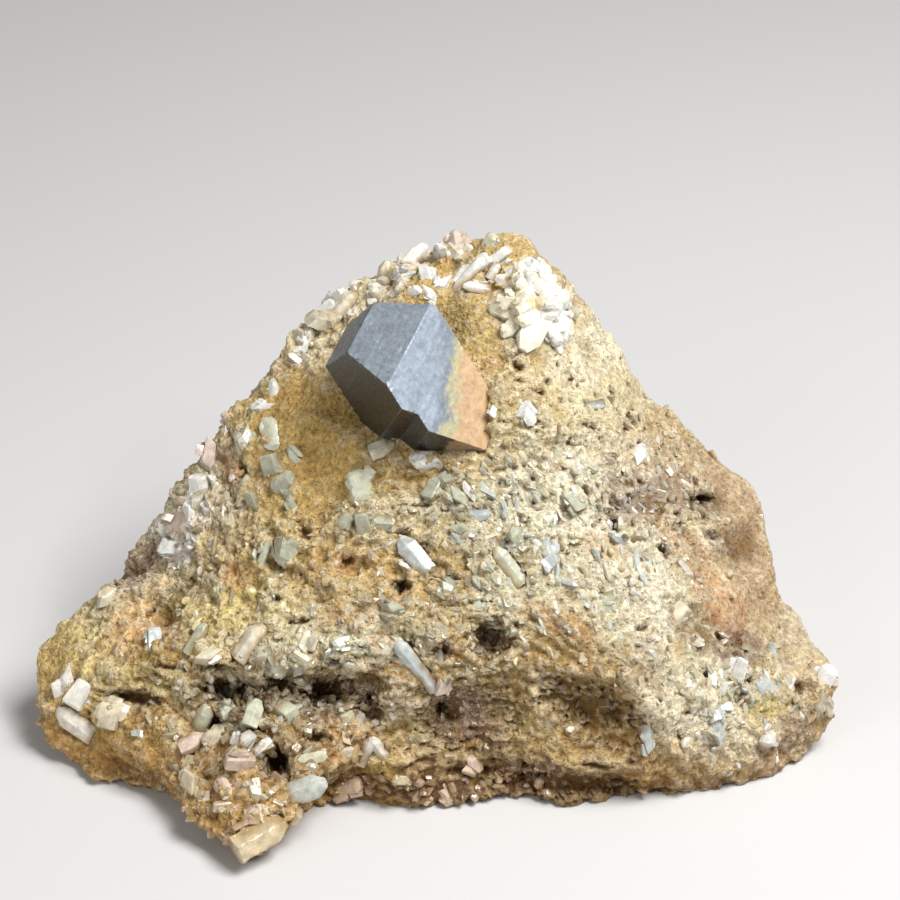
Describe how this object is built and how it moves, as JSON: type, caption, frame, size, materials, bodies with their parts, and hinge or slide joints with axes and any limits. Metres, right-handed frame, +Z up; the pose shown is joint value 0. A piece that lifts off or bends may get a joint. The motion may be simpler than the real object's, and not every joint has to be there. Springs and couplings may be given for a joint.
{
  "type": "mineral specimen with an anatase crystal on matrix",
  "caption": "Steel-grey anatase crystal, a steep square bipyramid, seated in a broad block of pitted tan matrix rock set with small pale prismatic crystals; rests on its flat underside",
  "frame": {"origin": "Middle of the specimen's bounding box in plan, on the flat underside that it rests on", "axes": "+Z up; +X to the right along the specimen's longest extent as seen from the side with the anatase crystal; +Y away from that side"},
  "size_m": [0.0867, 0.0645, 0.0489],
  "materials": {
    "matrix_rock": "dry, grainy, ochre tan rock",
    "anatase": "adamantine to metallic steel grey, finely striated",
    "white_crystal": "milky white, pearly",
    "grey_crystal": "translucent blue-grey, vitreous",
    "green_crystal": "translucent pale green, vitreous",
    "pink_crystal": "cloudy pinkish, vitreous",
    "brown_crystal": "dull brown-grey grain"
  },
  "bodies": {
    "root": {"matrix_rock": "matrix_rock", "anatase_crystal": "anatase", "white_tuft": "white_crystal", "white_twin": "white_crystal", "white_blade_long": "white_crystal", "white_blade_short": "white_crystal", "white_blade_upper": "white_crystal", "brown_grain": "brown_crystal", "grey_white_prism": "white_crystal", "pale_green_prism": "green_crystal", "blue_grey_prism": "grey_crystal", "green_blade": "green_crystal", "pale_chip": "grey_crystal", "foot_crystal": "white_crystal", "left_lobe_crystal": "white_crystal", "pink_block": "pink_crystal", "glassy_block": "grey_crystal", "green_prism_left": "green_crystal", "green_prism_low": "green_crystal", "rim_block": "white_crystal", "rim_prism": "white_crystal", "rim_cream_block": "white_crystal"}
  },
  "joints": []
}
